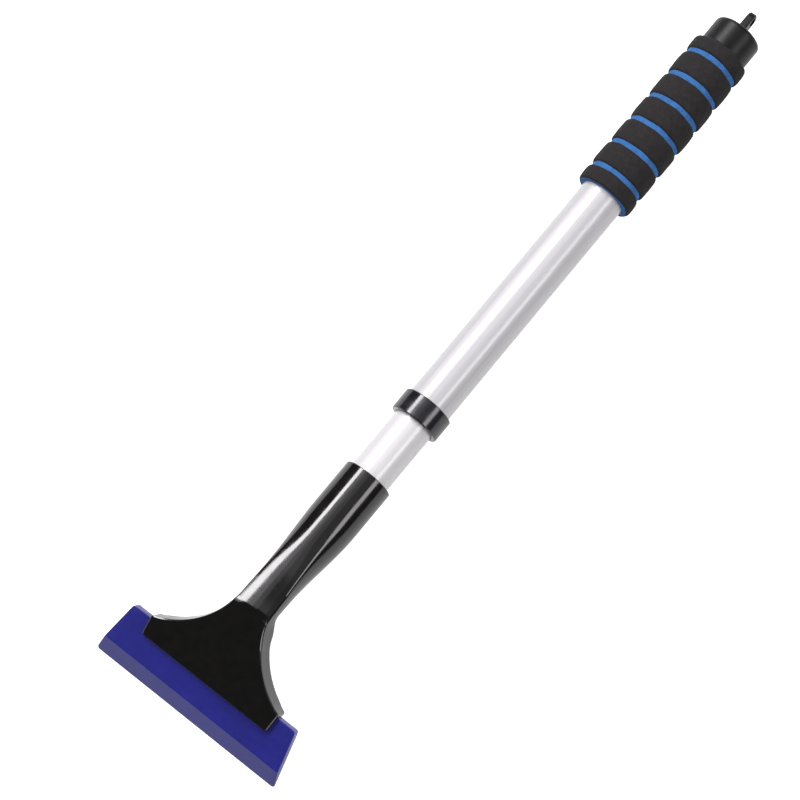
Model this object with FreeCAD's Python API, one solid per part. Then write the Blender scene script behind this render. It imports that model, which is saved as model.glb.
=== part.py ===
import math
import os

import FreeCAD
import Part

# A telescopic ice scraper in millimetres.
# X is the axis of the tubes: 0 at the hanging hole, growing towards the scraping head.
# Z points up out of the front of the head, and Y runs across it.

V = FreeCAD.Vector

# ---- Driving dimensions -------------------------------------------------------------------------
# Telescopic tubes
OUTER_R = 12.0            # outside radius of the outer tube
INNER_R = 11.0            # outside radius of the inner tube
TUBE_WALL = 0.6
OUTER_START = 13.7        # end of the outer tube inside the cap
MOUTH = 275.7             # free rim of the collar, where the inner tube comes out
EXTENSION = 35.4          # length of inner tube that shows at rest
STOP_BEAD_FROM_END = 23.2 # rolled bead on the inner tube that stops the extension
STOP_BEAD_R = 11.28
STOP_BEAD_LENGTH = 1.6
STOP_BEAD_ROOT = 0.2      # how deep the bead is buried in the tube's wall
INNER_LENGTH = 264.0

# Collar and guide ring at the mouth of the outer tube
COLLAR_R = 13.8
COLLAR_LENGTH = 12.2
COLLAR_LIP = 1.2
COLLAR_LIP_BORE_R = 11.35
COLLAR_CHAMFER = 0.5
GUIDE_LENGTH = 2.8
GUIDE_BORE_R = 11.06      # runs on the inner tube

# Foam grip: a blue core that shows in the grooves between black bands
GRIP_START = 24.5
GRIP_LENGTH = 98.2
GRIP_CORE_R = 14.8
GRIP_BAND_R = 16.0
GRIP_BANDS = 7
GROOVE_WIDTH = 2.6
END_BAND_LENGTH = 8.45
BAND_ROUNDING = 0.8

# End cap with its hanging lug
CAP_R = 13.35
CAP_START = 8.7
CAP_END = 24.4
CAP_ROUNDING = 2.5
CAP_OVERLAP = 1.0           # how far the lug's root and the spigot run into the cap's end wall
CAP_SPIGOT_WALL = 1.6
CAP_SPIGOT_LENGTH = 10.0
LUG_R = 4.2
LUG_THICKNESS = 4.0
LUG_BEVEL = 0.6
HOLE_R = 2.5

# Twist lock on the inner tube's end
PLUG_STEM_LENGTH = 20.0
PLUG_FLANGE = 2.0
JOURNAL_R = 8.0
JOURNAL_LENGTH = 8.0
ECCENTRICITY = 0.5
RING_R = 11.35
RING_CLEARANCE = 0.36     # lets the journal turn inside the ring before it jams
RING_END_GAP = 0.2
RING_SPLIT = 2.0
WASHER_R = 10.0
WASHER_THICKNESS = 1.0
LOCK_SCREW_R = 1.5
LOCK_SCREW_LENGTH = 16.0
LOCK_HEAD_R = 3.2
LOCK_HEAD_HEIGHT = 2.2
PILOT_DEPTH = 12.0        # of the lock screw's hole in the plug's stem

# Head: socket and neck
SOCKET_R = 13.4
SOCKET_DEPTH = 30.0
SOCKET_CHAMFER = 0.4
NECK_CORE_R = 7.0         # cored-out space behind the tube
NECK_CORE_DEPTH = 52.0
NECK_SECTIONS = 15
TAPER_START = 20.0        # from the socket's rim: the round section starts to change here
SIDES_END = 76.0          # the sides stop narrowing
FRONT_END = 78.0          # the front is flat from here
BACK_START = 24.0         # the underside starts to rise
BACK_END = 92.4
CREASE = 87.4             # from the socket's rim to the crease line
CREASE_HEIGHT = 13.0      # of the crease line above the axis
CREASE_CROWN = 0.1
NECK_HALF_WIDTH = 9.8
NECK_BACK = -0.4          # underside of the neck at the crease
NECK_FRONT_POWER = 7.0    # squareness of the front corners at the crease
NECK_BACK_POWER = 3.0
NECK_DRAFT = 0.10
SECTION_POINTS = 32
BRIDGE = 99.5             # end of the piece that runs from the neck into the plate
BRIDGE_HALF_WIDTH = 11.0
BRIDGE_DEPTH_IN_PLATE = 0.8
BRIDGE_THICKNESS = 7.8
BRIDGE_POWER = 4.0

# Head: plate, in its own coordinates: x from the crease down to the blade, z out of the front face
PLATE_TILT = 24.8
PLATE_THICKNESS = 9.8
PLATE_FRONT_WALL = 2.6
PLATE_LENGTH = 46.2
WING_TOP = 35.4
WING_HALF = 40.7
WING_BOTTOM_HALF = 39.9
WING_CORNER = 1.5
SIDE_MID = (22.8, 21.3)   # a point half-way along the arc from the crease to the wing
START_LEAN = math.radians(10)  # slope of that arc at the crease
MID_LEAN = math.radians(42)    # and at the half-way point
COVER_THICKNESS = 2.0
COVER_TOP = 12.5          # upper edge of the back cover, below the crease
COVER_INSET = 1.4
COVER_GAP = 0.15
REACH = 80.0              # longer than anything that a cutting box has to pass through
POCKET_INSET = 3.8
POCKET_START = 14.5
POCKET_END = 34.6
BOSS_R = 3.5
BOSS_ROOT = 0.5           # how far a boss runs into the front wall

# Blade
BLADE_TOP = 37.55
BLADE_BEVEL_START = 59.7
BLADE_EDGE = 68.65
BLADE_TOP_HALF = 51.8
BLADE_EDGE_HALF = 57.5
BLADE_THICKNESS = 5.2
BLADE_LAND = 0.5          # flat left at the cutting edge
BLADE_CORNER = 1.6
BLADE_HOLE_GAP = 0.2
BLADE_PLAY = 0.1          # between the blade and its slot

# Every screw's shape, as shares of its head's radius and height
HEAD_ROUNDING = 0.45
CROSS_REACH = 0.55
CROSS_HALF_WIDTH = 0.13
CROSS_DEPTH = 0.6
SCREW_TIP_R = 0.3

# Screws of the head
SCREW_ROW = 42.1
SCREW_OFFSETS = (-32.0, -12.0, 12.0, 32.0)
TOP_SCREW = 20.0
SCREW_R = 1.3
SCREW_HEAD_R = 2.6
SCREW_HEAD_HEIGHT = 1.5
SCREW_LENGTH = 7.4
SCREW_END_GAP = 0.3
SOCKET_SCREW_AT = 15.0    # from the socket's rim
SOCKET_SCREW_LENGTH = 4.6

FIT = 0.02                # between pressed or glued round faces
SCREW_PLAY = 0.2          # round a screw in a clearance hole
X_AXIS = V(1, 0, 0)

socket_rim = MOUTH + EXTENSION
inner_end = socket_rim + SOCKET_DEPTH
inner_start = inner_end - INNER_LENGTH
outer_bore = OUTER_R - TUBE_WALL
inner_bore = INNER_R - TUBE_WALL
outer_end = MOUTH - COLLAR_LIP - GUIDE_LENGTH


# ---- Helpers ------------------------------------------------------------------------------------
def rod(radius, start, end, y=0.0):
    """A cylinder along the tool's axis, from X start to X end."""
    return Part.makeCylinder(radius, end - start, V(start, y, 0), X_AXIS)


def sleeve(outer, inner, start, end):
    return rod(outer, start, end).cut(rod(inner, start, end))


def revolve(points):
    """Turns a closed outline of (x, radius) points about the tool's axis."""
    wire = Part.makePolygon([V(x, 0, r) for x, r in points + points[:1]])
    return Part.Face(wire).revolve(V(0, 0, 0), X_AXIS, 360)


def circle_edges(solid, radius, positions):
    """The full circles about the axis that have this radius and lie at these X positions."""
    found = []
    for edge in solid.Edges:
        curve = edge.Curve
        if isinstance(curve, Part.Circle) and abs(curve.Radius - radius) < 1e-4:
            if min(abs(curve.Center.x - x) for x in positions) < 1e-4:
                found.append(edge)
    return found


def ease(value, start, end):
    """Goes smoothly from 0 at start to 1 at end."""
    t = min(1.0, max(0.0, (value - start) / (end - start)))
    return t * t * (3 - 2 * t)


def mix(a, b, t):
    return a + (b - a) * t


def power_curve(value, exponent):
    return math.copysign(abs(value) ** (2.0 / exponent), value)


def screw(head_r, head_height, shank_r, length):
    """A pan head screw with a cross recess: the head's seat is at z = 0 and the point is up."""
    head = Part.makeCylinder(head_r, head_height, V(0, 0, -head_height))
    top = [e for e in head.Edges if isinstance(e.Curve, Part.Circle) and e.Curve.Center.z < -head_height / 2]
    head = head.makeFillet(head_height * HEAD_ROUNDING, top)
    shank = Part.makeCylinder(shank_r, length - shank_r)
    point = Part.makeCone(shank_r, SCREW_TIP_R, shank_r, V(0, 0, length - shank_r))
    body = head.fuse([shank, point]).removeSplitter()
    reach = head_r * CROSS_REACH
    half = head_r * CROSS_HALF_WIDTH
    for angle in (45, 135):
        slot = Part.makeBox(2 * reach, 2 * half, head_height * CROSS_DEPTH)
        slot.translate(V(-reach, -half, -head_height))
        slot.rotate(V(0, 0, 0), V(0, 0, 1), angle)
        body = body.cut(slot)
    return body


def place_on_plate(shape):
    """Moves a shape from the plate's own coordinates to its place on the tool."""
    shape = shape.copy()
    shape.rotate(V(0, 0, 0), V(0, 1, 0), PLATE_TILT)
    shape.translate(V(socket_rim + CREASE, 0, CREASE_HEIGHT))
    return shape


# ---- Handle -------------------------------------------------------------------------------------
def make_outer_tube():
    return sleeve(OUTER_R, outer_bore, OUTER_START, outer_end)


def make_collar():
    start = MOUTH - COLLAR_LENGTH
    body = rod(COLLAR_R, start, MOUTH)
    body = body.makeChamfer(COLLAR_CHAMFER, circle_edges(body, COLLAR_R, (start, MOUTH)))
    bore = rod(OUTER_R + FIT, start, MOUTH - COLLAR_LIP)
    return body.cut(bore).cut(rod(COLLAR_LIP_BORE_R, start, MOUTH))


def make_guide_ring():
    return sleeve(OUTER_R, GUIDE_BORE_R, outer_end, MOUTH - COLLAR_LIP)


def make_grip_core():
    return sleeve(GRIP_CORE_R, OUTER_R + FIT, GRIP_START, GRIP_START + GRIP_LENGTH)


def band_limits():
    """Start and end of each black band: short ones at the ends, equal ones between."""
    middle = GRIP_LENGTH - 2 * END_BAND_LENGTH - (GRIP_BANDS - 1) * GROOVE_WIDTH
    lengths = [END_BAND_LENGTH] + [middle / (GRIP_BANDS - 2)] * (GRIP_BANDS - 2) + [END_BAND_LENGTH]
    limits = []
    at = GRIP_START
    for length in lengths:
        limits.append((at, at + length))
        at += length + GROOVE_WIDTH
    return limits


def make_grip_band(start, end):
    band = rod(GRIP_BAND_R, start, end)
    band = band.makeFillet(BAND_ROUNDING, circle_edges(band, GRIP_BAND_R, (start, end)))
    return band.cut(rod(GRIP_CORE_R + FIT, start, end))


def make_end_cap():
    body = rod(CAP_R, CAP_START, CAP_END)
    body = body.makeFillet(CAP_ROUNDING, circle_edges(body, CAP_R, (CAP_START,)))
    body = body.cut(rod(OUTER_R + FIT, OUTER_START, CAP_END))
    spigot_r = outer_bore - FIT
    buried = CAP_START + CAP_OVERLAP
    spigot = sleeve(spigot_r, spigot_r - CAP_SPIGOT_WALL, buried, OUTER_START + CAP_SPIGOT_LENGTH)
    lug = Part.makeCylinder(LUG_R, LUG_THICKNESS, V(0, -LUG_THICKNESS / 2, 0), V(0, 1, 0))
    root = Part.makeBox(buried, LUG_THICKNESS, 2 * LUG_R, V(0, -LUG_THICKNESS / 2, -LUG_R))
    lug = lug.fuse(root).removeSplitter()
    faces_edges = [e for e in lug.Edges if abs(abs(e.CenterOfMass.y) - LUG_THICKNESS / 2) < 1e-6]
    outline = [e for e in faces_edges if e.BoundBox.XMin < CAP_START]
    lug = lug.makeChamfer(LUG_BEVEL, outline)
    hole = Part.makeCylinder(HOLE_R, 3 * LUG_THICKNESS, V(0, -1.5 * LUG_THICKNESS, 0), V(0, 1, 0))
    return body.fuse([spigot, lug]).cut(hole).removeSplitter()


# ---- Inner tube and twist lock ------------------------------------------------------------------
def make_inner_tube():
    tube = rod(INNER_R, inner_start, inner_end)
    middle = inner_start + STOP_BEAD_FROM_END
    half = STOP_BEAD_LENGTH / 2
    root_r = INNER_R - STOP_BEAD_ROOT
    bead = revolve([(middle - half, root_r), (middle - half, INNER_R), (middle - half / 2, STOP_BEAD_R),
                    (middle + half / 2, STOP_BEAD_R), (middle + half, INNER_R), (middle + half, root_r)])
    tube = tube.fuse(bead).cut(rod(inner_bore, inner_start, inner_end))
    at = socket_rim + SOCKET_SCREW_AT
    hole = Part.makeCylinder(SCREW_R + SCREW_PLAY, 2 * INNER_R, V(at, 0, 0), V(0, 0, -1))
    return tube.cut(hole)


def make_lock_plug():
    stem = rod(inner_bore - FIT, inner_start, inner_start + PLUG_STEM_LENGTH)
    flange = rod(INNER_R, inner_start - PLUG_FLANGE, inner_start)
    journal_end = inner_start - PLUG_FLANGE
    journal = rod(JOURNAL_R, journal_end - JOURNAL_LENGTH, journal_end, ECCENTRICITY)
    pilot = rod(LOCK_SCREW_R, journal_end - JOURNAL_LENGTH, journal_end + PILOT_DEPTH)
    return stem.fuse([flange, journal]).cut(pilot).removeSplitter()


def make_lock_ring():
    end = inner_start - PLUG_FLANGE - RING_END_GAP
    start = end - JOURNAL_LENGTH + 2 * RING_END_GAP
    ring = rod(RING_R, start, end).cut(rod(JOURNAL_R + RING_CLEARANCE, start, end, ECCENTRICITY))
    gap = Part.makeBox(end - start, RING_R * 2, RING_SPLIT, V(start, -2 * RING_R, -RING_SPLIT / 2))
    return ring.cut(gap)


def make_lock_washer():
    end = inner_start - PLUG_FLANGE - JOURNAL_LENGTH
    return sleeve(WASHER_R, LOCK_SCREW_R + SCREW_PLAY, end - WASHER_THICKNESS, end)


def make_lock_screw():
    body = screw(LOCK_HEAD_R, LOCK_HEAD_HEIGHT, LOCK_SCREW_R - FIT, LOCK_SCREW_LENGTH)
    body.rotate(V(0, 0, 0), V(0, 1, 0), 90)
    body.translate(V(inner_start - PLUG_FLANGE - JOURNAL_LENGTH - WASHER_THICKNESS, 0, 0))
    return body


# ---- Head ---------------------------------------------------------------------------------------
def neck_section(h):
    """A closed curve round the neck at a distance h from the socket's rim.

    It starts as the socket's circle. Towards the crease it narrows, its front becomes flat with
    tight corners, its underside rises, and its sides lean out a little towards the back.
    """
    shape = ease(h, TAPER_START, FRONT_END)
    half = mix(SOCKET_R, NECK_HALF_WIDTH, ease(h, TAPER_START, SIDES_END))
    front = mix(SOCKET_R, CREASE_HEIGHT + CREASE_CROWN, shape)
    back = mix(-SOCKET_R, NECK_BACK, ease(h, BACK_START, BACK_END))
    middle = (front + back) / 2
    tall = (front - back) / 2
    points = []
    for i in range(SECTION_POINTS):
        angle = 2 * math.pi * i / SECTION_POINTS
        across = math.cos(angle)
        up = math.sin(angle)
        power = mix(2, NECK_FRONT_POWER if up > 0 else NECK_BACK_POWER, shape)
        lean = 1 + NECK_DRAFT * shape * (1 - up) / 2
        points.append(V(socket_rim + h, half * power_curve(across, power) * lean,
                        middle + tall * power_curve(up, power)))
    return closed_curve(points)


def closed_curve(points):
    curve = Part.BSplineCurve()
    curve.interpolate(points, PeriodicFlag=True, Parameters=[float(i) for i in range(len(points) + 1)])
    return Part.Wire(curve.toShape())


def bridge_section():
    """The last section of the neck, buried in the plate."""
    slope = math.tan(math.radians(PLATE_TILT))
    middle = CREASE_HEIGHT - (BRIDGE - CREASE) * slope - BRIDGE_DEPTH_IN_PLATE - BRIDGE_THICKNESS / 2
    points = []
    for i in range(SECTION_POINTS):
        angle = 2 * math.pi * i / SECTION_POINTS
        across = BRIDGE_HALF_WIDTH * power_curve(math.cos(angle), BRIDGE_POWER)
        up = BRIDGE_THICKNESS / 2 * power_curve(math.sin(angle), BRIDGE_POWER)
        points.append(V(socket_rim + BRIDGE, across, middle + up))
    return closed_curve(points)


def plate_outline(inset, bottom):
    """The winged outline, moved inwards by inset, closed by a straight edge at x = bottom."""
    half = WING_HALF - inset
    low = WING_BOTTOM_HALF - inset
    start = V(inset, NECK_HALF_WIDTH - inset * math.cos(START_LEAN), 0)
    middle = V(SIDE_MID[0] + inset * math.sin(MID_LEAN), SIDE_MID[1] - inset * math.cos(MID_LEAN), 0)
    tip = V(WING_TOP + inset, half, 0)
    corner = V(bottom, low, 0)
    flip = lambda p: V(p.x, -p.y, 0)
    edges = [Part.Arc(start, middle, tip).toShape(),
             Part.makeLine(tip, corner),
             Part.makeLine(corner, flip(corner)),
             Part.makeLine(flip(corner), flip(tip)),
             Part.Arc(flip(tip), flip(middle), flip(start)).toShape(),
             Part.makeLine(flip(start), start)]
    return Part.Face(Part.Wire(edges))


def slab(face, top, depth):
    """The outline as a solid from z = top down to z = top - depth."""
    body = face.copy()
    body.translate(V(0, 0, top))
    return body.extrude(V(0, 0, -depth))


def between(shape, low, high):
    """What lies between x = low and x = high on the plate."""
    return shape.common(Part.makeBox(high - low, 2 * REACH, REACH, V(low, -REACH, -REACH / 2)))


def upright_edges(body, x_min):
    """The edges along z beyond x_min."""
    return [e for e in body.Edges
            if e.BoundBox.ZLength > 1 and e.BoundBox.XLength < 0.01 and e.BoundBox.XMin > x_min]


def screw_places():
    return [(SCREW_ROW, y) for y in SCREW_OFFSETS] + [(TOP_SCREW, 0.0)]


def make_plate():
    """The winged plate as a plain slab, before anything is cut from its back."""
    body = slab(plate_outline(0, PLATE_LENGTH), 0, PLATE_THICKNESS)
    return body.makeFillet(WING_CORNER, upright_edges(body, WING_TOP - 1))


def plate_hollows():
    """The cover's recess, the hollow under it and the blade's slot."""
    floor = COVER_THICKNESS - PLATE_THICKNESS
    recess = slab(plate_outline(COVER_INSET, REACH), floor, PLATE_THICKNESS)
    pocket = slab(plate_outline(POCKET_INSET, PLATE_LENGTH), -PLATE_FRONT_WALL, PLATE_THICKNESS)
    slot_width = 2 * BLADE_EDGE_HALF
    corner = V(BLADE_TOP - BLADE_PLAY, -slot_width / 2, -PLATE_FRONT_WALL - PLATE_THICKNESS)
    slot = Part.makeBox(REACH, slot_width, PLATE_THICKNESS, corner)
    return [between(recess, COVER_TOP, REACH), between(pocket, POCKET_START, POCKET_END), slot]


def make_head_body():
    step = CREASE / (NECK_SECTIONS - 1)
    sections = [neck_section(i * step) for i in range(NECK_SECTIONS)]
    neck = Part.makeLoft(sections, True, False)
    bridge = Part.makeLoft([sections[-1], bridge_section()], True, True)
    past = SOCKET_R + SOCKET_CHAMFER
    chamfer = revolve([(socket_rim - SOCKET_CHAMFER, past - 3 * SOCKET_CHAMFER),
                       (socket_rim - SOCKET_CHAMFER, past), (socket_rim + 2 * SOCKET_CHAMFER, past)])
    body = neck.cut(chamfer).fuse(bridge).fuse(place_on_plate(make_plate()))
    for hollow in plate_hollows():
        body = body.cut(place_on_plate(hollow))
    floor = COVER_THICKNESS - PLATE_THICKNESS
    for x, y in screw_places():
        boss = Part.makeCylinder(BOSS_R, BOSS_ROOT - PLATE_FRONT_WALL - floor, V(x, y, floor))
        body = body.fuse(place_on_plate(boss))
    for x, y in screw_places():
        pilot = Part.makeCylinder(SCREW_R, SCREW_LENGTH, V(x, y, -PLATE_THICKNESS))
        body = body.cut(place_on_plate(pilot))
    body = body.cut(rod(INNER_R + FIT, socket_rim, inner_end))
    body = body.cut(rod(NECK_CORE_R, inner_end, socket_rim + NECK_CORE_DEPTH))
    at = socket_rim + SOCKET_SCREW_AT
    hole = Part.makeCylinder(SCREW_R + SCREW_PLAY, 2 * SOCKET_R, V(at, 0, 0), V(0, 0, -1))
    return body.cut(hole)


def make_back_cover():
    outline = plate_outline(COVER_INSET + COVER_GAP, PLATE_LENGTH)
    body = slab(outline, COVER_THICKNESS - PLATE_THICKNESS, COVER_THICKNESS)
    body = between(body, COVER_TOP + COVER_GAP, PLATE_LENGTH)
    for x, y in screw_places():
        body = body.cut(Part.makeCylinder(SCREW_R + SCREW_PLAY, PLATE_THICKNESS, V(x, y, -PLATE_THICKNESS)))
    return place_on_plate(body)


def make_blade():
    back = -PLATE_FRONT_WALL - BLADE_THICKNESS
    profile = [V(BLADE_TOP, 0, -PLATE_FRONT_WALL), V(BLADE_BEVEL_START, 0, -PLATE_FRONT_WALL),
               V(BLADE_EDGE, 0, back + BLADE_LAND), V(BLADE_EDGE, 0, back), V(BLADE_TOP, 0, back)]
    side = Part.Face(Part.makePolygon(profile + profile[:1]))
    width = 2 * BLADE_EDGE_HALF + 2
    side.translate(V(0, -width / 2, 0))
    bar = side.extrude(V(0, width, 0))
    outline = [V(BLADE_TOP, BLADE_TOP_HALF, back), V(BLADE_EDGE, BLADE_EDGE_HALF, back),
               V(BLADE_EDGE, -BLADE_EDGE_HALF, back), V(BLADE_TOP, -BLADE_TOP_HALF, back)]
    plan = Part.Face(Part.makePolygon(outline + outline[:1])).extrude(V(0, 0, BLADE_THICKNESS))
    plan = plan.makeFillet(BLADE_CORNER, upright_edges(plan, BLADE_TOP - 1))
    body = plan.common(bar)
    for x, y in screw_places()[:-1]:
        body = body.cut(Part.makeCylinder(BOSS_R + BLADE_HOLE_GAP, 20, V(x, y, back - 5)))
    return place_on_plate(body)


def make_cover_screws():
    """Five equal screws through the back cover: four pass through the blade as well."""
    screws = []
    for x, y in screw_places():
        one = screw(SCREW_HEAD_R, SCREW_HEAD_HEIGHT, SCREW_R - FIT, SCREW_LENGTH - SCREW_END_GAP)
        one.translate(V(x, y, -PLATE_THICKNESS))
        screws.append(place_on_plate(one))
    return Part.makeCompound(screws)


def make_socket_screw():
    body = screw(SCREW_HEAD_R, SCREW_HEAD_HEIGHT, SCREW_R, SOCKET_SCREW_LENGTH)
    body.translate(V(socket_rim + SOCKET_SCREW_AT, 0, -SOCKET_R))
    return body


# ---- Write every piece --------------------------------------------------------------------------
def main():
    pieces = {
        "outer_tube": make_outer_tube(),
        "collar": make_collar(),
        "guide_ring": make_guide_ring(),
        "grip_core": make_grip_core(),
        "end_cap": make_end_cap(),
        "lock_ring": make_lock_ring(),
        "inner_tube": make_inner_tube(),
        "lock_plug": make_lock_plug(),
        "lock_washer": make_lock_washer(),
        "lock_screw": make_lock_screw(),
        "head_body": make_head_body(),
        "head_back_cover": make_back_cover(),
        "blade": make_blade(),
        "cover_screws": make_cover_screws(),
        "socket_screw": make_socket_screw(),
    }
    for number, (start, end) in enumerate(band_limits(), 1):
        pieces["grip_band_%d" % number] = make_grip_band(start, end)
    os.makedirs("parts", exist_ok=True)
    for name, shape in pieces.items():
        counts = (name, shape.isValid(), len(shape.Solids), shape.Volume)
        print("%-16s valid %s solids %d volume %.1f" % counts)
        shape.exportStep(os.path.join("parts", name + ".step"))


main()
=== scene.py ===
import bpy
import bmesh
import math
import numpy as np
from mathutils import Matrix, Vector, noise
from types import SimpleNamespace


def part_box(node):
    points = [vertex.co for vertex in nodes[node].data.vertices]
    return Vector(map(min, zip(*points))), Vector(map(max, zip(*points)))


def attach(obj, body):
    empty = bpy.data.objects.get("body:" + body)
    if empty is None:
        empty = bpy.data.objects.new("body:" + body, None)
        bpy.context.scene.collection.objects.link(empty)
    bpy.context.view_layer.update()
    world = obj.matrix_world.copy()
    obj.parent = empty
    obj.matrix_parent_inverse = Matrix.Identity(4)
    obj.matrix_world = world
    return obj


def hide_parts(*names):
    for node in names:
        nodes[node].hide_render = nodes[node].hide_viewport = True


# Looks for the telescopic ice scraper. Metres; X runs along the tubes from the hanging hole to the
# head, Z out of the head's front, Y across. Pieces are drawn in millimetres and scaled once.

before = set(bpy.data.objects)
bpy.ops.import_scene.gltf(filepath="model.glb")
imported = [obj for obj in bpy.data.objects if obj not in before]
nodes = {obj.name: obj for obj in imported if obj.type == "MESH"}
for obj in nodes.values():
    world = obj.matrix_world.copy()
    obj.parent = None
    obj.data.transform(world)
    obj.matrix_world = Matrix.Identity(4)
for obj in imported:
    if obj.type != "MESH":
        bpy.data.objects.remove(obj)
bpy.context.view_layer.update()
MM = 0.001

# ---- Camera: where the tool stands in the picture ------------------------------------------------
FOCAL_MM = 142.0
SENSOR_MM = 36.0
DISTANCE = 1.5712                 # from the lens to the tube's axis at the aim point
AIM_X = 0.2635                    # point of the axis that the numbers below place in the picture
AIM_RIGHT = 0.01433               # how far that point lies right of the picture's centre
AIM_DOWN = 0.00297
AXIS_RIGHT = -0.64090             # direction of the axis in the picture, towards the head
AXIS_UP = -0.76762
TOOL_TILT = math.radians(11.5)    # the head's end comes nearer to the lens by this angle
TOOL_ROLL = math.radians(14.4)    # the head's front is turned to the picture's left by this angle

# ---- Head: the same driving dimensions as the solid, in millimetres ------------------------------
SOCKET_R = 13.4
SOCKET_DEPTH = 30.0
SOCKET_CHAMFER = 0.4
BORE_R = 11.02
CREASE = 87.4                     # from the socket's rim to the crease line
CREASE_HEIGHT = 13.0
CREASE_SOFTNESS = 0.8
NECK_HALF = 9.8
NECK_BACK = -0.4                  # Z of the neck's back where it meets the plate
PLATE_TILT = math.radians(24.8)
PLATE_THICKNESS = 9.8
FRONT_WALL = 2.6
PLATE_LENGTH = 46.2
WING_TOP = 35.4
WING_HALF = 40.7
WING_BOTTOM_HALF = 39.9
WING_CORNER = 1.5
SIDE_MID = (22.8, 21.3)           # a point half way along the arc: from the crease, half width
EDGE_ROUNDING = 0.6               # size of the bevel along the front face's edge
RIM_ROUNDING = 0.6                # of the back's edge
BEVEL_SHARE = 0.45                # on the neck, where the bevel's middle lies between wall and front
BEVEL_IN = 0.2                    # on the plate, how far in it lies, in sizes of the bevel
BEVEL_DOWN = 0.52                 # and how deep
FLAT_LEAN = 0.01                  # a front whose edge leans less than this angle is flat
FLARE = 8.0                       # the neck's side starts to flare this far before the crease
NECK_STATIONS = (25, 45, 60, 74, 87.4)      # distances from the socket's rim for the next two rows
CROWN_R = (13.4, 15.0, 27.0, 32.0, 36.0)    # radius of the neck's front
CORNER_HALF = (9.48, 7.8, 8.5, 9.6, 9.8)    # half width between the front's two edges
CROWN_HALF = 11.0                 # the crown doesn't curve beyond this half width
SMOOTHING = 7.0                   # the rows above are averaged this far before and after a place
NECK_DRAFT = 0.9                  # how much wider the neck's back is than its front, on each side
ARC_DRAFT = 2.9                   # the same at the start of the arcs
WING_DRAFT = 1.2                  # and near the wings
COVER_TOP = 12.5
COVER_INSET = 1.4
COVER_THICKNESS = 2.0
SLOT_TOP = 37.45                  # beyond this the plate is only its front wall, over the blade
OUTLINE_STEP = 0.25
ARC_END = 1.2                     # the arc stops this far before the wing's corner
FRONT_POINTS = 14
WALL_POINTS = 8
BACK_POINTS = 12
CORNER_POINTS = 10


# ---- Camera ---------------------------------------------------------------------------------------
def tool_axis():
    """The tube's direction towards the head, and the direction square to it that faces the lens."""
    flat = math.cos(TOOL_TILT)
    along = Vector((AXIS_RIGHT * flat, AXIS_UP * flat, math.sin(TOOL_TILT)))
    facing = (Vector((0, 0, 1)) - along.z * along).normalized()
    return along, facing


def make_camera():
    along, facing = tool_axis()
    front = Matrix.Rotation(TOOL_ROLL, 3, along) @ facing
    across = front.cross(along)
    to_world = Matrix((along, across, front))      # picture directions to tool directions
    aim = Vector((AIM_RIGHT, -AIM_DOWN, -DISTANCE))
    place = Vector((AIM_X, 0, 0)) - to_world @ aim
    data = bpy.data.cameras.new("camera")
    data.lens = FOCAL_MM
    data.sensor_width = SENSOR_MM
    camera = bpy.data.objects.new("camera", data)
    camera.matrix_world = Matrix.Translation(place) @ to_world.to_4x4()
    bpy.context.scene.collection.objects.link(camera)
    bpy.context.scene.camera = camera
    return to_world


to_world = make_camera()


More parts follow.
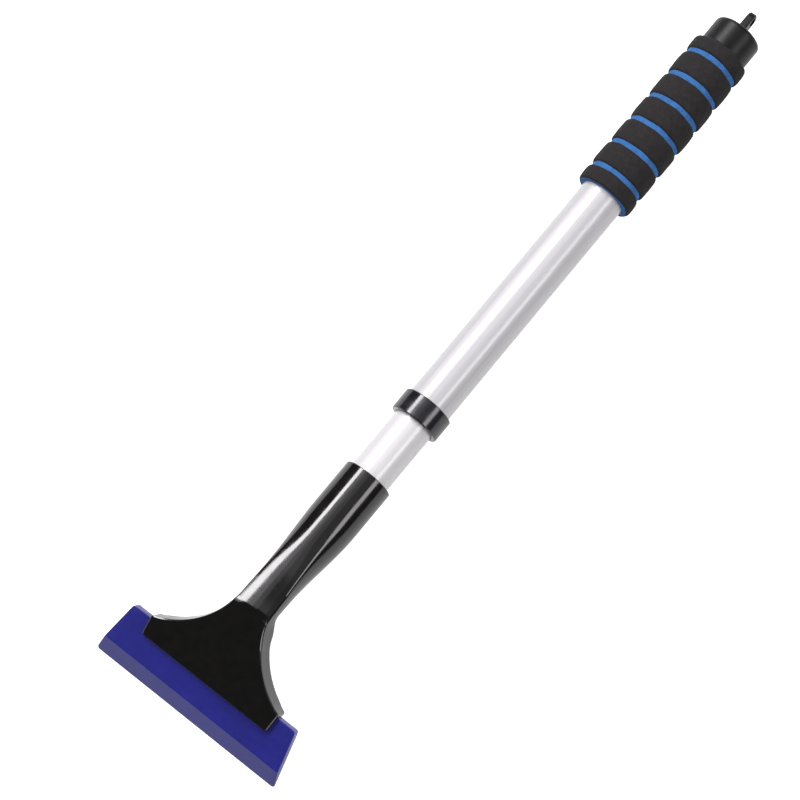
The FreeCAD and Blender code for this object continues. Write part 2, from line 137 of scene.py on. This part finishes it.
# ---- Material helpers -----------------------------------------------------------------------------
class Look:
    """A material under construction: its nodes are added one call at a time."""

    def __init__(self, name, colour, roughness, metallic=0.0):
        self.material = bpy.data.materials.new(name)
        self.material.use_nodes = True
        self.tree = self.material.node_tree
        self.shader = self.tree.nodes["Principled BSDF"]
        self.shader.inputs["Base Color"].default_value = (*colour, 1)
        self.shader.inputs["Roughness"].default_value = roughness
        self.shader.inputs["Metallic"].default_value = metallic
        self.normal = None

    def node(self, kind, **settings):
        made = self.tree.nodes.new(kind)
        for key, value in settings.items():
            setattr(made, key, value)
        return made

    def link(self, source, target):
        self.tree.links.new(source, target)

    def coordinates(self, stretch):
        """The object's own coordinates, in metres, multiplied along each axis."""
        texture = self.node("ShaderNodeTexCoord")
        mapping = self.node("ShaderNodeMapping")
        mapping.inputs["Scale"].default_value = stretch
        self.link(texture.outputs["Object"], mapping.inputs["Vector"])
        return mapping.outputs["Vector"]

    def clouds(self, size_mm, detail=2.0, stretch=(1, 1, 1)):
        """Noise whose lumps are about size_mm across."""
        made = self.node("ShaderNodeTexNoise")
        made.inputs["Scale"].default_value = 1000.0 / size_mm
        made.inputs["Detail"].default_value = detail
        self.link(self.coordinates(stretch), made.inputs["Vector"])
        return made.outputs["Fac"]

    def cells(self, size_mm):
        made = self.node("ShaderNodeTexVoronoi")
        made.inputs["Scale"].default_value = 1000.0 / size_mm
        self.link(self.coordinates((1, 1, 1)), made.inputs["Vector"])
        return made.outputs["Distance"]

    def between(self, value, low, high, start=0.3, end=0.7):
        """Turns a value of about start to end into low to high."""
        made = self.node("ShaderNodeMapRange")
        made.inputs["From Min"].default_value = start
        made.inputs["From Max"].default_value = end
        made.inputs["To Min"].default_value = low
        made.inputs["To Max"].default_value = high
        self.link(value, made.inputs["Value"])
        return made.outputs["Result"]

    def tint(self, value, low, high, start=0.3, end=0.7):
        """Varies the colour between two colours with a value."""
        factor = self.between(value, 0.0, 1.0, start, end)
        made = self.node("ShaderNodeMix", data_type="RGBA")
        made.inputs["A"].default_value = (*low, 1)
        made.inputs["B"].default_value = (*high, 1)
        if self.shader.inputs["Base Color"].links:
            self.link(self.shader.inputs["Base Color"].links[0].from_socket, made.inputs["A"])
        self.link(factor, made.inputs["Factor"])
        self.link(made.outputs["Result"], self.shader.inputs["Base Color"])

    def roughen(self, value, low, high, start=0.3, end=0.7):
        self.link(self.between(value, low, high, start, end), self.shader.inputs["Roughness"])

    def bump(self, value, height_mm):
        made = self.node("ShaderNodeBump")
        made.inputs["Distance"].default_value = height_mm * MM
        made.inputs["Strength"].default_value = 1.0
        self.link(value, made.inputs["Height"])
        if self.normal:
            self.link(self.normal, made.inputs["Normal"])
        self.normal = made.outputs["Normal"]
        self.link(self.normal, self.shader.inputs["Normal"])


def shade(colour, factor):
    return tuple(part * factor for part in colour)


# ---- Materials ------------------------------------------------------------------------------------
def aluminium(name, colour):
    """Drawn tube: fine lines run along it, so that highlights spread round it."""
    look = Look(name, colour, 0.66, 1.0)
    look.shader.inputs["Anisotropic"].default_value = 0.4
    look.shader.inputs["Coat Weight"].default_value = 1.0
    look.shader.inputs["Coat Roughness"].default_value = 0.2
    look.shader.inputs["Coat IOR"].default_value = 1.5
    tangent = look.node("ShaderNodeTangent", direction_type="RADIAL", axis="X")
    look.link(tangent.outputs["Tangent"], look.shader.inputs["Tangent"])
    lines = look.clouds(0.35, 3.0, (0.002, 1, 1))
    bands = look.clouds(2.6, 2.0, (0.004, 1, 1))
    look.tint(bands, shade(colour, 0.92), colour)
    look.roughen(lines, 0.6, 0.72)
    look.bump(lines, 0.003)
    look.bump(bands, 0.008)
    return look.material


def gloss_plastic(name, colour, roughness):
    """Moulded black plastic: slight waviness, faint haze and hardly any colour change."""
    look = Look(name, colour, roughness)
    look.shader.inputs["IOR"].default_value = 1.5
    haze = look.clouds(5.0, 4.0)
    fine = look.clouds(0.25, 2.0)
    look.tint(haze, shade(colour, 0.8), shade(colour, 1.3))
    look.roughen(haze, roughness * 0.8, roughness * 1.35)
    look.bump(look.clouds(9.0, 1.0), 0.010)
    look.bump(fine, 0.0008)
    return look.material


def satin_plastic(name, colour):
    look = Look(name, colour, 0.38)
    look.shader.inputs["Specular IOR Level"].default_value = 0.18
    grain = look.clouds(0.22, 2.0)
    look.tint(look.clouds(4.0, 3.0), shade(colour, 0.8), shade(colour, 1.25))
    look.roughen(grain, 0.34, 0.46)
    look.bump(grain, 0.006)
    return look.material


def foam(name, colour, light, dark, cell_mm):
    """Cut closed-cell foam: small cells, paler in their middles, with painted shade on their sunken
    borders, in lighter and darker patches.
    """
    look = Look(name, colour, 0.9)
    look.shader.inputs["Specular IOR Level"].default_value = 0.12
    cells = look.cells(cell_mm)
    patches = look.clouds(3.0, 3.0)
    look.tint(patches, shade(colour, dark), shade(colour, light))
    # The cells' borders are sunk by the bump below and darkened here: painted shade in the grooves between
    # cells.
    painted_shade_mix = look.node("ShaderNodeMix", data_type="RGBA", blend_type="MULTIPLY")
    painted_shade_mix.inputs["Factor"].default_value = 1.0
    grey = look.node("ShaderNodeCombineColor")
    painted_cell_shade = look.between(cells, 1.12, 0.72, 0.1, 0.6)
    for channel in ("Red", "Green", "Blue"):
        look.link(painted_cell_shade, grey.inputs[channel])
    look.link(look.shader.inputs["Base Color"].links[0].from_socket, painted_shade_mix.inputs["A"])
    look.link(grey.outputs["Color"], painted_shade_mix.inputs["B"])
    look.link(painted_shade_mix.outputs["Result"], look.shader.inputs["Base Color"])
    look.roughen(patches, 0.8, 0.97)
    look.bump(patches, 0.10)
    look.bump(cells, -0.10)
    return look.material


def polyurethane(name, colour):
    """Cast blade: dense and semi-gloss, with faint flow marks."""
    look = Look(name, colour, 0.36)
    look.shader.inputs["IOR"].default_value = 1.5
    flow = look.clouds(7.0, 4.0, (1, 0.35, 1))
    look.tint(flow, shade(colour, 0.88), shade(colour, 1.12))
    look.roughen(look.clouds(1.2, 3.0), 0.3, 0.42)
    look.bump(flow, 0.015)
    return look.material


def steel(name):
    look = Look(name, (0.56, 0.56, 0.58), 0.3, 1.0)
    look.roughen(look.clouds(0.4, 3.0), 0.22, 0.45)
    look.tint(look.clouds(0.8, 2.0), (0.45, 0.45, 0.48), (0.62, 0.62, 0.63))
    return look.material


def nylon(name, colour):
    look = Look(name, colour, 0.45)
    look.tint(look.clouds(2.0, 3.0), shade(colour, 0.9), colour)
    look.roughen(look.clouds(0.3, 2.0), 0.38, 0.52)
    look.bump(look.clouds(0.3, 2.0), 0.003)
    return look.material


def dress(names, material):
    for name in names:
        for place in nodes[name].material_slots:
            place.material = material


HEAD_BLACK = (0.0022, 0.0020, 0.0018)
head_gloss = gloss_plastic("head_gloss", HEAD_BLACK, 0.12)
blade_blue = polyurethane("blade_blue", (0.0065, 0.0075, 0.125))
foam_blue = foam("foam_blue", (0.031, 0.108, 0.28), 1.15, 0.82, 0.55)
foam_black = foam("foam_black", (0.0165, 0.0153, 0.0158), 1.25, 0.78, 0.5)
dress(["outer_tube"], aluminium("outer_aluminium", (0.38, 0.376, 0.386)))
dress(["inner_tube"], aluminium("inner_aluminium", (0.45, 0.446, 0.452)))
dress(["collar"], gloss_plastic("collar_gloss", (0.004, 0.004, 0.0065), 0.18))
dress(["head_back_cover"], head_gloss)
dress(["end_cap"], satin_plastic("cap_satin", (0.0035, 0.0035, 0.0038)))
dress(["guide_ring", "lock_ring"], nylon("nylon_white", (0.7, 0.7, 0.68)))
dress(["lock_plug"], nylon("nylon_black", (0.02, 0.02, 0.02)))
dress(["lock_washer", "lock_screw", "cover_screws", "socket_screw"], steel("zinc_steel"))


# ---- Mesh helpers ---------------------------------------------------------------------------------
def ease(value, start, end):
    """Goes smoothly from 0 at start to 1 at end."""
    t = min(1.0, max(0.0, (value - start) / (end - start)))
    return t * t * (3 - 2 * t)


def mix(a, b, t):
    return a + (b - a) * t


def skin(name, rings, material, caps=True, sharp=32):
    """A closed mesh through rings of equally many points, in millimetres."""
    mesh = bpy.data.meshes.new(name)
    bm = bmesh.new()
    rows = [[bm.verts.new(Vector(point) * MM) for point in ring] for ring in rings]
    count = len(rows[0])
    for one, two in zip(rows, rows[1:]):
        for i in range(count):
            j = (i + 1) % count
            bm.faces.new((one[i], one[j], two[j], two[i]))
    if caps:
        bm.faces.new(rows[0])
        bm.faces.new(rows[-1])
    else:
        for i in range(count):
            j = (i + 1) % count
            bm.faces.new((rows[-1][i], rows[-1][j], rows[0][j], rows[0][i]))
    bmesh.ops.remove_doubles(bm, verts=bm.verts, dist=1e-7)
    bmesh.ops.recalc_face_normals(bm, faces=bm.faces)
    for face in bm.faces:
        face.smooth = True
    bm.to_mesh(mesh)
    bm.free()
    mesh.set_sharp_from_angle(angle=math.radians(sharp))
    mesh.materials.append(material)
    piece = bpy.data.objects.new(name, mesh)
    bpy.context.scene.collection.objects.link(piece)
    return piece


def both_sides(half):
    """A whole ring from the half between its two middle points."""
    return half + [(x, -y, z) for x, y, z in reversed(half[1:-1])]


def spread(count):
    """Even shares from 0 to 1."""
    return [i / count for i in range(count + 1)]


def stations(*runs):
    """Places along a piece, from runs of (first, end, step)."""
    return [float(x) for run in runs for x in np.arange(*run)]


# ---- Head -----------------------------------------------------------------------------------------
def circle_through(a, b, c):
    """Centre and radius of the circle through three points."""
    rows = np.array([[b[0] - a[0], b[1] - a[1]], [c[0] - a[0], c[1] - a[1]]], float) * 2
    sums = [b[0]**2 - a[0]**2 + b[1]**2 - a[1]**2, c[0]**2 - a[0]**2 + c[1]**2 - a[1]**2]
    centre = np.linalg.solve(rows, sums)
    return centre, math.hypot(a[0] - centre[0], a[1] - centre[1])


def round_corner(before, corner, after, radius, count):
    """Points of an arc that rounds the corner between two straight lines."""
    before, corner, after = (np.array(point, float) for point in (before, corner, after))
    one = (before - corner) / np.linalg.norm(before - corner)
    two = (after - corner) / np.linalg.norm(after - corner)
    half = math.acos(max(-1.0, min(1.0, float(one.dot(two))))) / 2
    centre = corner + (one + two) / np.linalg.norm(one + two) * radius / math.sin(half)
    start = corner + one * radius / math.tan(half) - centre
    end = corner + two * radius / math.tan(half) - centre
    a = math.atan2(start[1], start[0])
    turn = (math.atan2(end[1], end[0]) - a + math.pi) % (2 * math.pi) - math.pi
    angles = [a + turn * k / count for k in range(count + 1)]
    return [centre + radius * np.array((math.cos(angle), math.sin(angle))) for angle in angles]


def side_outline():
    """The head's side line seen from the front, as (x, half width): neck, arc, wing, lower corner."""
    centre, radius = circle_through((0, NECK_HALF), SIDE_MID, (WING_TOP, WING_HALF))

    def height(x):
        return centre[1] - math.sqrt(radius**2 - (x - centre[0])**2)

    def slope(x):
        return (x - centre[0]) / math.sqrt(radius**2 - (x - centre[0])**2)

    points = []
    y = NECK_HALF
    step = OUTLINE_STEP
    x = -FLARE
    while x < FLARE:
        points.append(np.array((x, y)))
        y += step * slope(max(0.0, x + step / 2)) * ease(x + step / 2, -FLARE, FLARE)
        x += step
    drop = y - height(x)
    last = WING_TOP - ARC_END
    while x < last:
        points.append(np.array((x, height(x) + drop * (1 - ease(x, FLARE, last)))))
        x += step
    tip = (WING_TOP, WING_HALF)
    low = (PLATE_LENGTH, WING_BOTTOM_HALF)
    points += round_corner(points[-1], tip, low, WING_CORNER, CORNER_POINTS)
    points += round_corner(tip, low, (PLATE_LENGTH, 0), WING_CORNER, CORNER_POINTS)
    return np.array(points)


OUTLINE = side_outline()


def half_width(x, inset=0.0):
    """The side line moved inwards by inset, at x."""
    if x <= -FLARE:
        return NECK_HALF - inset
    ahead = np.gradient(OUTLINE, axis=0)
    ahead /= np.linalg.norm(ahead, axis=1)[:, None]
    moved = OUTLINE + inset * np.stack((ahead[:, 1], -ahead[:, 0]), axis=1)
    return float(np.interp(x, moved[:, 0], moved[:, 1]))


def front_line(x):
    """Where the front's middle line is: (X from the crease, Z from the crease)."""
    slope = np.array((math.cos(PLATE_TILT), -math.sin(PLATE_TILT)))
    if x <= -CREASE_SOFTNESS:
        return np.array((x, 0.0))
    if x >= CREASE_SOFTNESS:
        return slope * x
    t = (x + CREASE_SOFTNESS) / (2 * CREASE_SOFTNESS)
    return np.array((-CREASE_SOFTNESS, 0.0)) * (1 - t)**2 + slope * CREASE_SOFTNESS * t**2


def bend(a, corner, b, count):
    """Points of a smooth curve from a to b that is pulled towards the corner, without its ends."""
    points = []
    for k in range(1, count):
        t = k / count
        shares = ((1 - t)**2, 2 * t * (1 - t), t * t)
        points.append(tuple(shares[0] * a[i] + shares[1] * corner[i] + shares[2] * b[i] for i in (0, 1)))
    return points


def along_neck(h, row):
    """One of the rows of neck dimensions at h, with its corners smoothed."""
    near = h + np.linspace(-SMOOTHING, SMOOTHING, 15)
    return float(np.mean(np.interp(near, NECK_STATIONS, row)))


def side_draft(x):
    """How much wider the back is than the front, on each side."""
    draft = mix(NECK_DRAFT, ARC_DRAFT, ease(x, -16, -2))
    return mix(draft, WING_DRAFT, ease(x, 2, 16)) * (1 - ease(x, 32, WING_TOP))


def section_sizes(x, slotted, lowered, outer_r):
    """Half widths (names in y) and depths (names in d) of the section's corners at x."""
    h = x + CREASE
    plate = ease(x, -4.0, 9.0)
    corner_y = along_neck(h, CORNER_HALF) if x <= -FLARE else half_width(x)
    crown_r = along_neck(h, CROWN_R)
    if x < SOCKET_CHAMFER - CREASE:
        corner_y = outer_r * math.sqrt(0.5)
        crown_r = outer_r
    crown = crown_r - math.sqrt(crown_r**2 - min(corner_y, CROWN_HALF)**2)
    crown *= 1 - ease(x, -0.6, 3.5)
    top = mix(CREASE_HEIGHT - outer_r, 0.0, ease(h, 60, 84)) + lowered
    lean = 2 * math.atan2(crown, corner_y)
    bevel = EDGE_ROUNDING * math.cos(lean)
    inner_y = half_width(x, EDGE_ROUNDING) if x > -FLARE else corner_y - bevel
    rim_y = half_width(x, COVER_INSET) if x > -FLARE else corner_y - COVER_INSET
    neck_back = mix(CREASE_HEIGHT + outer_r, CREASE_HEIGHT - NECK_BACK, ease(h, 24, 92))
    back_d = FRONT_WALL if slotted else mix(neck_back, PLATE_THICKNESS, plate)
    neck_side = mix(outer_r, NECK_HALF + NECK_DRAFT, ease(h, 26, 72))
    side_y = corner_y if slotted else mix(neck_side, corner_y + side_draft(x), plate)
    side_d = mix(mix(CREASE_HEIGHT, 7.5, ease(h, 30, 80)), back_d - RIM_ROUNDING, plate)
    return SimpleNamespace(h=h, plate=plate, crown=crown, top=top, lean=lean, inner_y=inner_y,
                           corner_y=corner_y, corner_d=top + crown, side_y=side_y, side_d=side_d,
                           rim_y=rim_y, back_d=back_d)


def front_points(size):
    """The front, from the middle to the bevel: crowned on the neck, flat on the plate."""
    points = []
    for t in spread(FRONT_POINTS):
        y = size.inner_y * t
        depth = size.top
        if size.lean >= FLAT_LEAN:
            angle = math.asin(min(1.0, y / size.corner_y * math.sin(size.lean)))
            depth += size.crown * (1 - math.cos(angle)) / (1 - math.cos(size.lean))
        points.append((y, depth))
    return points


def wall_point(size, sine):
    """A point of the side wall: an arc on the neck, nearly straight beside the plate."""
    rise = sine / math.sqrt(0.5)
    curved = (1 - math.sqrt(1 - sine * sine)) / (1 - math.sqrt(0.5))
    inwards = mix(curved, rise, size.plate)
    return (size.side_y - (size.side_y - size.corner_y) * inwards,
            size.side_d - (size.side_d - size.corner_d) * rise)


def wall_points(size, inner):
    """The bevel's middle point after the front's last point, inner, and then the wall."""
    first = math.sqrt(0.5) * (1 - EDGE_ROUNDING / (size.side_d - size.corner_d))
    start = wall_point(size, first)
    chord = (mix(start[0], inner[0], BEVEL_SHARE), mix(start[1], inner[1], BEVEL_SHARE))
    points = [(mix(chord[0], size.corner_y - EDGE_ROUNDING * BEVEL_IN, size.plate),
               mix(chord[1], size.corner_d + EDGE_ROUNDING * BEVEL_DOWN, size.plate))]
    return points + [wall_point(size, first * (1 - t)) for t in spread(WALL_POINTS)]


def back_points(size, covered):
    """The back: round on the neck, and flat on the plate, with a recess where it is covered."""
    side_y, side_d, back_d = size.side_y, size.side_d, size.back_d
    floor_d = back_d - COVER_THICKNESS if covered else back_d
    back_y = side_y - RIM_ROUNDING
    flat = bend((side_y, side_d), (side_y, back_d), (back_y, back_d), 3)
    flat += [(back_y, back_d), (size.rim_y, back_d), (size.rim_y, floor_d)]
    flat += [(size.rim_y * (1 - t), floor_d) for t in spread(BACK_POINTS)[1:]]
    power = mix(2.0, 2.8, ease(size.h, 24, 84))
    points = []
    for k, (y, d) in enumerate(flat, 1):
        angle = math.pi / 2 * k / len(flat)
        round_y = side_y * max(0.0, math.cos(angle)) ** (2 / power)
        round_d = side_d + (back_d - side_d) * math.sin(angle) ** (2 / power)
        points.append((mix(round_y, y, size.plate), mix(round_d, d, size.plate)))
    return points


def head_section(x, slotted=False, covered=False, lowered=0.0, outer_r=SOCKET_R):
    """Half a ring round the head at x from the crease, as (across, depth) from the front's middle line.

    The socket is round. The neck has a crowned front between two edges and a round back, and the
    plate has a flat front, upright sides and a flat back with a recess for the cover.
    """
    size = section_sizes(x, slotted, lowered, outer_r)
    front = front_points(size)
    return front + wall_points(size, front[-1]) + back_points(size, covered)


def head_ring(x, **settings):
    """The ring at x in the tool's own millimetres. It leans with the plate beyond the crease."""
    lean = PLATE_TILT * ease(x, -18, 18)
    along, height = front_line(x)
    half = []
    for y, depth in head_section(x, **settings):
        half.append((socket_rim + CREASE + along - depth * math.sin(lean), y,
                     CREASE_HEIGHT + height - depth * math.cos(lean)))
    return both_sides(half)


def bore_ring(x):
    count = len(head_section(-CREASE)) - 1
    half = []
    for k in range(count + 1):
        angle = math.pi * k / count
        half.append((x, BORE_R * math.sin(angle), BORE_R * math.cos(angle)))
    return both_sides(half)


def make_head():
    """Socket, neck and plate in one closed skin, from the bore's end round the rim to the lower edge.

    The rings stand closer together round the crease and near the slot's top.
    """
    rings = [bore_ring(socket_rim + SOCKET_DEPTH), bore_ring(socket_rim)]
    rings.append(head_ring(-CREASE, outer_r=SOCKET_R - SOCKET_CHAMFER))
    places = [-CREASE + SOCKET_CHAMFER, -CREASE + 1]
    places += stations((-CREASE + 4, -FLARE, 2.0), (-FLARE, -2, 0.75), (-2, 4, 0.25),
                       (4, COVER_TOP, 0.7))
    rings += [head_ring(x) for x in places + [COVER_TOP]]
    lower = [COVER_TOP] + stations((COVER_TOP + 0.7, 32, 0.8), (32, SLOT_TOP, 0.25)) + [SLOT_TOP]
    rings += [head_ring(x, covered=True) for x in lower]
    rings += [head_ring(x, slotted=True) for x in [SLOT_TOP] + stations((38.3, 44.3, 1.0))]
    for t in spread(8)[1:]:
        angle = t * math.pi / 2
        x = PLATE_LENGTH - WING_CORNER + WING_CORNER * math.sin(angle)
        lowered = max(0.0, EDGE_ROUNDING / 2 - (PLATE_LENGTH - x)) ** 2 / EDGE_ROUNDING * 2
        x = min(x, PLATE_LENGTH - 0.001)
        rings.append(head_ring(x, slotted=True, lowered=lowered))
    head = skin("head_moulding", rings, head_gloss, sharp=27)
    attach(head, "wand")
    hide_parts("head_body")


socket_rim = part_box("head_body")[0].x / MM


# ---- Blade ----------------------------------------------------------------------------------------
BLADE_TOP = 37.55
BEVEL_START = 59.7
BLADE_EDGE = 68.65
BLADE_TOP_HALF = 51.8
BLADE_EDGE_HALF = 57.4
BLADE_THICKNESS = 5.2
BLADE_LAND = 0.5                  # thickness left at the scraping edge
BLADE_CORNER = 1.6                # radius of the corners seen from the front
BLADE_ROUNDING = 0.35             # of the long edges


def on_plate(x, y, depth):
    """A point of the plate's own coordinates in the tool's millimetres."""
    return (socket_rim + CREASE + x * math.cos(PLATE_TILT) - depth * math.sin(PLATE_TILT), y,
            CREASE_HEIGHT - x * math.sin(PLATE_TILT) - depth * math.cos(PLATE_TILT))


def blade_half(x):
    """Half the blade's width at x, with its corners rounded."""
    half = mix(BLADE_TOP_HALF, BLADE_EDGE_HALF, (x - BLADE_TOP) / (BLADE_EDGE - BLADE_TOP))
    near = min(x - BLADE_TOP, BLADE_EDGE - x, BLADE_CORNER)
    return half - BLADE_CORNER + math.sqrt(max(0.0, BLADE_CORNER**2 - (BLADE_CORNER - near)**2))


def blade_ring(x):
    """A ring round the blade at x: the front slopes to a thin land beyond the bevel's start."""
    back = FRONT_WALL + BLADE_THICKNESS
    front = FRONT_WALL
    if x > BEVEL_START:
        front = mix(FRONT_WALL, back - BLADE_LAND, (x - BEVEL_START) / (BLADE_EDGE - BEVEL_START))
    edge = min(BLADE_ROUNDING, (back - front) / 2.5)
    near = max(0.0, BLADE_ROUNDING - (x - BLADE_TOP))
    end = BLADE_ROUNDING - math.sqrt(max(0.0, BLADE_ROUNDING**2 - near**2))
    front += end
    back -= end
    half = blade_half(x)
    points = [((half - edge) * t, front) for t in spread(12)]
    points += bend(points[-1], (half, front), (half, front + edge), 3)
    points += [(half, front + edge), (half, back - edge)]
    points += bend((half, back - edge), (half, back), (half - edge, back), 3)
    points += [((half - edge) * (1 - t), back) for t in spread(12)]
    return both_sides([on_plate(x, y, depth) for y, depth in points])


def make_blade():
    corner = [BLADE_CORNER * (1 - math.cos(t * math.pi / 2)) for t in spread(8)]
    rounded = [BLADE_TOP + BLADE_ROUNDING * t for t in (0.3, 0.6, 1)]
    places = sorted([BLADE_TOP + c for c in corner] + rounded)
    places += stations((42, BEVEL_START - 0.2, 3.0))
    places += [BEVEL_START - 0.12, BEVEL_START, BEVEL_START + 0.12, 63, 66]
    places += [BLADE_EDGE - c for c in reversed(corner)]
    blade = skin("blade_strip", [blade_ring(x) for x in places], blade_blue, sharp=24)
    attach(blade, "wand")
    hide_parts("blade")


# ---- Foam grip ------------------------------------------------------------------------------------
FOAM_TURNS = 144                  # points round a ring of foam
BAND_R = 16.0
BAND_BORE = 14.7
BAND_CROWN = 0.35                 # how much lower a band is at its ends than at its middle
BAND_ROUNDING = 1.3               # length of the rounding at a band's ends
BAND_DROP = 1.1                   # depth of that rounding
BAND_SHARES = (0.0, 0.015, 0.05, 0.1, 0.18, 0.3, 0.45, 0.6, 0.74, 0.84, 0.91, 0.955, 0.985, 1.0)
EDGE_WAVE = 0.38                  # how unevenly a band's edges are cut
CAP_SIDE_WAVE = 1.1               # the same on the first band's edge by the cap
LIP = 0.3                         # how far the bore's ends lie inside the band
CORE_BORE = 12.03
GRIP_MIDDLE_R = 14.0


def uneven(angle, along, seed, size):
    """Smooth wobble between about -1 and 1 round the grip; size is that of its lumps in millimetres."""
    r = GRIP_MIDDLE_R / size
    return noise.noise(Vector((r * math.cos(angle) + seed * 7.3, r * math.sin(angle), along / size + seed)))


def foam_ring(x, radius, wave, seed, rough):
    """A ring of foam whose radius wobbles by rough and whose place wobbles by wave."""
    ring = []
    for k in range(FOAM_TURNS):
        angle = 2 * math.pi * k / FOAM_TURNS
        r = radius + rough * uneven(angle, x, seed, 4.0) + rough * 0.5 * uneven(angle, x, seed + 40, 1.3)
        shift = wave * uneven(angle, x * 0.1, seed + 20, 7.0)
        ring.append((x + shift, r * math.sin(angle), r * math.cos(angle)))
    return ring


def make_band(number):
    """A black foam band: crowned, with soft uneven edges."""
    name = "grip_band_%d" % number
    low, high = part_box(name)
    start = low.x / MM
    length = (high.x - low.x) / MM
    rings = [foam_ring(start + LIP, BAND_BORE, 0.0, number, 0.0)]
    for t in BAND_SHARES:
        side = abs(2 * t - 1)
        edge = max(0.0, 1 - min(t, 1 - t) * length / BAND_ROUNDING)
        radius = BAND_R - BAND_CROWN * side**3 - BAND_DROP * (1 - math.sqrt(max(0.0, 1 - edge**2)))
        wave = EDGE_WAVE * side
        if number == 1 and t < 0.5:
            wave = CAP_SIDE_WAVE * side**2
        rings.append(foam_ring(start + length * t, radius, wave, number, 0.15))
    rings.append(foam_ring(start + length - LIP, BAND_BORE, 0.0, number, 0.0))
    band = skin("foam_band_%d" % number, rings, foam_black, caps=False, sharp=70)
    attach(band, "handle")
    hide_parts(name)


def make_core():
    """The blue foam tube that shows between the bands and at the grip's lower end; its seed is 9."""
    low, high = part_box("grip_core")
    start = low.x / MM
    end = high.x / MM
    outer = high.z / MM
    rings = [foam_ring(start, CORE_BORE, 0.0, 9, 0.0), foam_ring(start, outer - 0.3, 0.0, 9, 0.05)]
    for x in stations((start + 0.4, end - 0.4, 1.6)):
        rings.append(foam_ring(x, outer, 0.0, 9, 0.10))
    rings.append(foam_ring(end - 0.4, outer, 0.1, 9, 0.08))
    rings.append(foam_ring(end, outer - 0.4, 0.1, 9, 0.05))
    rings.append(foam_ring(end, CORE_BORE, 0.0, 9, 0.0))
    core = skin("foam_core", rings, foam_blue, caps=False, sharp=70)
    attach(core, "handle")
    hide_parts("grip_core")


make_head()
make_blade()
make_core()
for number in range(1, 8):
    make_band(number)


# ---- Floor and light ------------------------------------------------------------------------------
FLOOR_SIZE = 3.0                  # metres from its middle to a side
FLOOR_GAP = 0.0002                # between the floor and the tool
FLOOR_GLOW = 0.75                 # for reflections; the camera sees 1, plain white
STUDIO_GLOW = 0.12                # the same for the surroundings
LIGHT_AIM_X = 0.25                # point of the axis that the lights face
LIGHT_COLOUR = (1.0, 0.975, 1.0)

# Name, turn and rise in degrees, then distance, width and length in metres, and radiance.
LIGHTS = (
    ("key", -50, 10, 1.6, 0.40, 1.9, 22),
    ("key_glow", -36, 10, 1.62, 0.30, 1.7, 2.4),
    ("key_fade", -27, 10, 1.63, 0.30, 1.6, 0.9),
    ("fill", 36, 10, 1.7, 0.50, 1.9, 7.0),
    ("low", 38, -48, 1.6, 0.7, 0.7, 3.5),
    ("front_left", -15, 16, 1.75, 0.6, 0.9, 0.5),
    ("front_glow", -4, 16, 1.8, 1.7, 0.9, 0.45),
)


def make_floor():
    """A plane just under the tool, along the blade's edge and the grip's end by the cap."""
    blade_low, blade_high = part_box("blade")
    grip_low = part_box("grip_band_1")[0]
    rise = (grip_low.z - blade_low.z) / (blade_high.x - grip_low.x)
    mesh = bpy.data.meshes.new("floor")
    points = []
    for across, ahead in ((-1, -1), (1, -1), (1, 1), (-1, 1)):
        x = across * FLOOR_SIZE
        points.append((blade_high.x + x, ahead * FLOOR_SIZE, blade_low.z - x * rise - FLOOR_GAP))
    mesh.from_pydata(points, [], [(0, 1, 2, 3)])
    floor = bpy.data.objects.new("floor", mesh)
    bpy.context.scene.collection.objects.link(floor)
    look = Look("floor_paper", (0.38, 0.38, 0.38), 0.9)
    look.shader.inputs["Specular IOR Level"].default_value = 0.0
    look.shader.inputs["Emission Color"].default_value = (1, 1, 1, 1)
    path = look.node("ShaderNodeLightPath")
    glow = look.between(path.outputs["Is Camera Ray"], FLOOR_GLOW, 1.0, 0.0, 1.0)
    look.link(glow, look.shader.inputs["Emission Strength"])
    mesh.materials.append(look.material)


def soft_light(name, turn, rise, distance, width, length, radiance):
    """A soft box that stands turn degrees round the tube from the lens, and rise up along it."""
    along, facing = tool_axis()
    right = facing.cross(along)
    turn = math.radians(turn)
    rise = math.radians(rise)
    side = math.sin(turn) * right + math.cos(turn) * facing
    direction = math.cos(rise) * side - math.sin(rise) * along
    data = bpy.data.lights.new(name, "AREA")
    data.shape = "RECTANGLE"
    data.size = width
    data.size_y = length
    data.color = LIGHT_COLOUR
    data.energy = radiance * math.pi * width * length
    light = bpy.data.objects.new(name, data)
    centre = Vector((LIGHT_AIM_X, 0, 0))
    place = centre + to_world @ (direction * distance)
    back = (place - centre).normalized()
    up = Vector((1, 0, 0))
    up = (up - up.dot(back) * back).normalized()
    turned = Matrix((up.cross(back), up, back)).transposed().to_4x4()
    light.matrix_world = Matrix.Translation(place) @ turned
    bpy.context.scene.collection.objects.link(light)


def make_light():
    world = bpy.data.worlds.new("studio")
    bpy.context.scene.world = world
    world.use_nodes = True
    background = world.node_tree.nodes["Background"]
    background.inputs["Color"].default_value = (1, 1, 1, 1)
    path = world.node_tree.nodes.new("ShaderNodeLightPath")
    seen = world.node_tree.nodes.new("ShaderNodeMapRange")
    seen.inputs["To Min"].default_value = STUDIO_GLOW
    seen.inputs["To Max"].default_value = 1.0
    world.node_tree.links.new(path.outputs["Is Camera Ray"], seen.inputs["Value"])
    world.node_tree.links.new(seen.outputs["Result"], background.inputs["Strength"])
    for row in LIGHTS:
        soft_light(*row)


make_floor()
make_light()
bpy.context.scene.view_settings.view_transform = "Standard"
